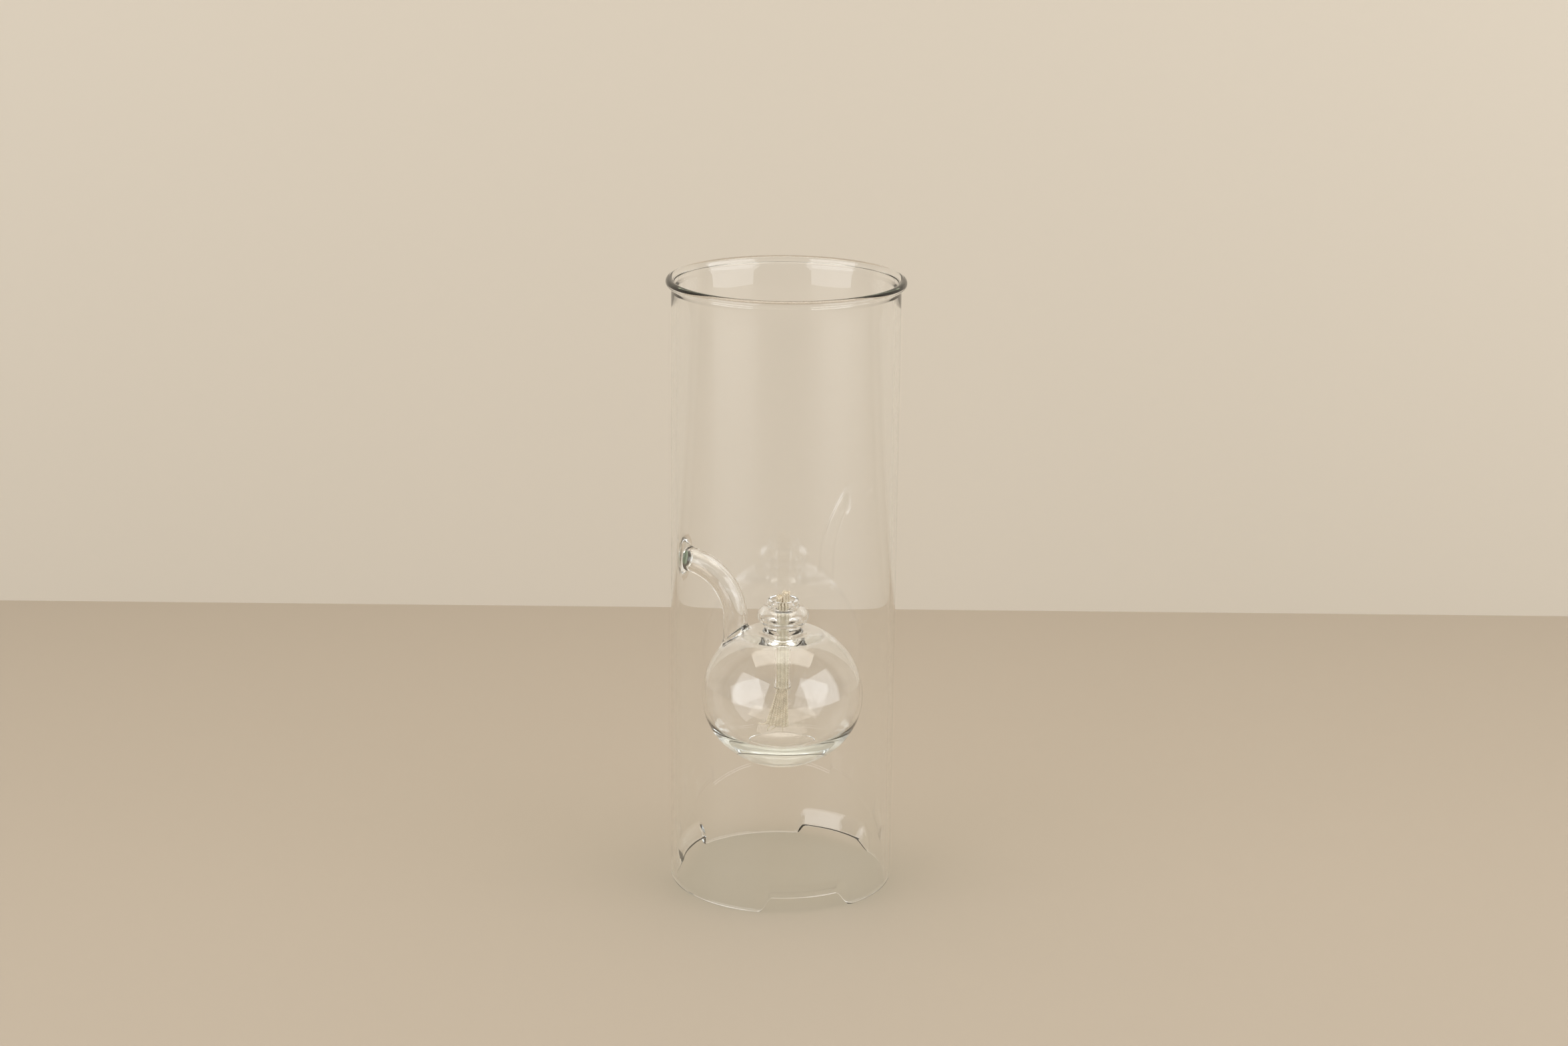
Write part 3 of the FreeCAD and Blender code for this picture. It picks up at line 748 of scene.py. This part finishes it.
def braid_column(mesh, middle, half_across, half_front, low, high, columns, rng):
    """An upright round or oval braid: a closed core, and columns of stitches that slant left and right."""
    rings = []
    for k in range(9):
        share = k / 8
        tuck = 1 - 0.35 * ease((share - 0.82) / 0.18)

        def place(turn, share=share, tuck=tuck):
            return (middle + ACROSS * (half_across * tuck * math.cos(turn))
                    + FRONT * (half_front * tuck * math.sin(turn)) + UP * blend(low, high, share))
        rings.append(ring(mesh, place, 28))
    for loop in (rings[0], rings[-1]):
        bmesh.ops.edgeloop_fill(mesh, edges=loop)
    sleeve(mesh, rings)
    rows = round((high - low) / STITCH_ROW)
    for k in range(columns):
        angle = TURN * (k + 0.5) / columns
        spot = ACROSS * (half_across * math.cos(angle)) + FRONT * (half_front * math.sin(angle))
        out = (ACROSS * (half_front * math.cos(angle)) + FRONT * (half_across * math.sin(angle))).normalized()
        side = UP.cross(out)
        slant = 1 if k % 2 else -1
        strand = bmesh.new()
        for row in range(rows):
            height = low + (row + 0.5 + 0.25 * slant) * (high - low) / rows
            along = UP * math.cos(0.6) + side * (slant * math.sin(0.6))
            along += Vector((rng.uniform(-1, 1), rng.uniform(-1, 1), rng.uniform(-1, 1))) * 0.06
            stitch(strand, middle + spot + out * 0.04 + UP * height, along, out, 1.8, 1.02, 0.66)
        join_into(mesh, strand)


def wick_stem_piece(material):
    mesh = bmesh.new()
    core = STEM_R - 0.2
    braid_column(mesh, Vector((0, 0, 0)), core, core, BURNER_END + 0.2, CUP_Z + 0.9, 10, random.Random(8))
    return finish_piece("wick_stem_braid", mesh, "wick", material, ["wick_stem"])


def wick_crown_piece(material):
    """The cut top of the wick: two frayed ends of the braid, the right one higher than the left."""
    mesh = bmesh.new()
    rng = random.Random(21)
    base = CUP_Z + 0.75
    for middle, half, top in ((1.2, 1.55, CUP_Z + 4.9), (-1.45, 1.35, CUP_Z + 3.0)):
        centre = ACROSS * middle
        braid_column(mesh, centre, half, 2.0, base, top, 8, rng)
        for k in range(CROWN_YARNS):
            angle = k * GOLDEN_ANGLE
            spread = math.sqrt((k + 0.5) / CROWN_YARNS)
            foot = centre + ACROSS * (half * 0.8 * spread * math.cos(angle)) + UP * (top - 0.7)
            foot += FRONT * (1.5 * spread * math.sin(angle))
            lean = ACROSS * (0.5 * math.cos(angle) + rng.uniform(-0.35, 0.35))
            lean += FRONT * (0.5 * math.sin(angle))
            rise = rng.uniform(0.9, 1.45) * (1.1 - 0.35 * spread)
            points = [foot + UP * (rise * step / 4) + lean * math.sin(step / 4 * 1.57) for step in range(5)]
            yarn(mesh, points, 0.36)
    return finish_piece("wick_crown_tuft", mesh, "wick", material, ["wick_crown"])


def wick_threads_piece(material):
    """Loose yarns at the cut end of the tail, and a few wisps at the tube's mouth."""
    mesh = bmesh.new()
    runs = (
        (0.30, ((-7.2, 71.9), (-8.4, 71.2), (-9.6, 71.3), (-10.9, 71.9))),
        (0.32, ((-5.4, 71.0), (-5.9, 69.9), (-6.5, 68.9), (-6.4, 67.9))),
        (0.28, ((-2.6, 70.7), (-3.4, 69.6), (-4.4, 69.0), (-4.9, 68.2))),
        (0.26, ((0.4, 70.4), (0.2, 69.4), (0.5, 68.5), (0.2, 67.7))),
        (0.12, ((-2.0, 89.6), (-2.9, 88.6), (-3.5, 88.2), (-3.9, 88.6))),
        (0.12, ((2.0, 89.6), (2.8, 88.4), (3.1, 87.6), (3.6, 87.4))),
    )
    for radius, spots in runs:
        points = [ACROSS * x + UP * z for x, z in spots]
        smooth = []
        for k in range(13):
            place = k / 12 * (len(points) - 1)
            low = min(int(place), len(points) - 2)
            mix = place - low
            before = points[max(low - 1, 0)]
            after = points[min(low + 2, len(points) - 1)]
            a = points[low]
            b = points[low + 1]
            bow = (a * 2 + (b - before) * mix + (before * 2 - a * 5 + b * 4 - after) * mix ** 2
                   + (a * 3 - b * 3 + after - before) * mix ** 3) / 2
            smooth.append(bow)
        yarn(mesh, smooth, radius, 8)
    piece = finish_piece("wick_loose_yarns", mesh, "wick", material, ["wick_threads"])
    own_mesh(piece)
    return piece


# ---------------------------------------------------------------- stage

CAMERA_SIDE = math.radians(17)
CAMERA_PITCH = math.radians(15.88)
CAMERA_ROLL = math.radians(0.58)
CAMERA_DISTANCE = 1.306
CAMERA_HEIGHT = 0.537
CAMERA_LENS = 70.4


def set_camera():
    data = bpy.data.cameras.new("camera")
    data.lens = CAMERA_LENS
    data.sensor_width = 36
    data.sensor_fit = "HORIZONTAL"
    camera = bpy.data.objects.new("camera", data)
    bpy.context.scene.collection.objects.link(camera)
    level = Vector((-math.sin(CAMERA_SIDE), math.cos(CAMERA_SIDE), 0))
    forward = level * math.cos(CAMERA_PITCH) - Vector((0, 0, math.sin(CAMERA_PITCH)))
    side = Vector((math.cos(CAMERA_SIDE), math.sin(CAMERA_SIDE), 0))
    up = side.cross(forward)
    right = side * math.cos(CAMERA_ROLL) + up * math.sin(CAMERA_ROLL)
    up = right.cross(forward)
    place = -level * CAMERA_DISTANCE + Vector((0, 0, CAMERA_HEIGHT))
    turn = Matrix((right, up, -forward)).transposed().to_4x4()
    camera.matrix_world = Matrix.Translation(place) @ turn
    bpy.context.scene.camera = camera


def soft_light(name, side, lift, distance, width, height, strength, colour):
    """A large soft light that faces the lamp; side is in degrees to the right of the camera."""
    data = bpy.data.lights.new(name, "AREA")
    data.shape = "RECTANGLE"
    data.size = width
    data.size_y = height
    data.energy = strength * width * height * math.pi
    data.color = colour
    light = bpy.data.objects.new(name, data)
    bpy.context.scene.collection.objects.link(light)
    round_z = CAMERA_SIDE - math.pi / 2 + math.radians(side)
    up = math.radians(lift)
    way = Vector((math.cos(round_z) * math.cos(up), math.sin(round_z) * math.cos(up), math.sin(up)))
    light.location = Vector((0, 0, 0.1)) + way * distance
    light.rotation_euler = way.to_track_quat("Z", "Y").to_euler()
    return light


def set_stage():
    floor_mesh = bmesh.new()
    back = 0.4
    far = Matrix.Rotation(CAMERA_SIDE, 4, "Z")
    lie = far @ Matrix.Translation((0, -3.0 + back, 0)) @ Matrix.Diagonal((4, 3.0, 1, 1))
    bmesh.ops.create_grid(floor_mesh, x_segments=1, y_segments=1, size=1, matrix=lie)
    floor_data = bpy.data.meshes.new("floor")
    floor_mesh.to_mesh(floor_data)
    floor_data.materials.append(plain("floor_paint", (0.40, 0.34, 0.27), 0.6))
    floor = bpy.data.objects.new("floor", floor_data)
    bpy.context.scene.collection.objects.link(floor)
    wall_mesh = bmesh.new()
    stand = far @ Matrix.Translation((0, back, 1.5)) @ Matrix.Rotation(math.pi / 2, 4, "X")
    stand = stand @ Matrix.Diagonal((4, 1.5, 1, 1))
    bmesh.ops.create_grid(wall_mesh, x_segments=1, y_segments=1, size=1, matrix=stand)
    wall_data = bpy.data.meshes.new("backdrop")
    wall_mesh.to_mesh(wall_data)
    wall_data.materials.append(plain("backdrop_paint", (0.62, 0.56, 0.47), 0.9))
    wall = bpy.data.objects.new("backdrop", wall_data)
    bpy.context.scene.collection.objects.link(wall)
    world = bpy.data.worlds.new("studio")
    world.use_nodes = True
    world.node_tree.nodes["Background"].inputs["Color"].default_value = (0.9, 0.85, 0.78, 1)
    world.node_tree.nodes["Background"].inputs["Strength"].default_value = 0.35
    bpy.context.scene.world = world


def set_lights():
    soft_light("left_softbox", -51, 15, 1.3, 1.2, 1.35, 2.6, (0.93, 0.96, 1.0))
    soft_light("right_softbox", 62, 15, 1.3, 1.3, 1.35, 2.6, (0.93, 0.96, 1.0))
    overhead = soft_light("overhead", 0, 90, 1.5, 2.0, 0.8, 3.6, (1.0, 0.95, 0.86))
    overhead.location = (0, 0, 1.6)
    overhead.rotation_euler = (0, 0, CAMERA_SIDE)


scene = bpy.context.scene
scene.view_settings.view_transform = "Standard"
scene.cycles.max_bounces = 32
scene.cycles.transmission_bounces = 32
scene.cycles.glossy_bounces = 12
scene.cycles.transparent_max_bounces = 32
scene.cycles.diffuse_bounces = 4
scene.cycles.caustics_reflective = False
scene.cycles.caustics_refractive = False

set_camera()
set_stage()
set_lights()
GLASS = clear_glass("lamp_glass", GLASS_TINT, GLASS_DEPTH)
add_streaks(GLASS)
# the lamp's glass gets a painted dark green shade at the seal
add_seal_shade(GLASS)
fused_glass(GLASS)
BURNER_GLASS = clear_glass("burner_glass", GLASS_TINT, GLASS_DEPTH)
add_streaks(BURNER_GLASS)
burner_glass(BURNER_GLASS)
OIL = clear_glass("lamp_oil", (0.95, 0.93, 0.80), 4.0)
OIL.node_tree.nodes["Principled BSDF"].inputs["IOR"].default_value = 1.44
oil_pool(OIL)
COTTON = cotton()
wick_stem_piece(COTTON)
wick_crown_piece(COTTON)
wick_tail_piece(COTTON)
wick_threads_piece(COTTON)
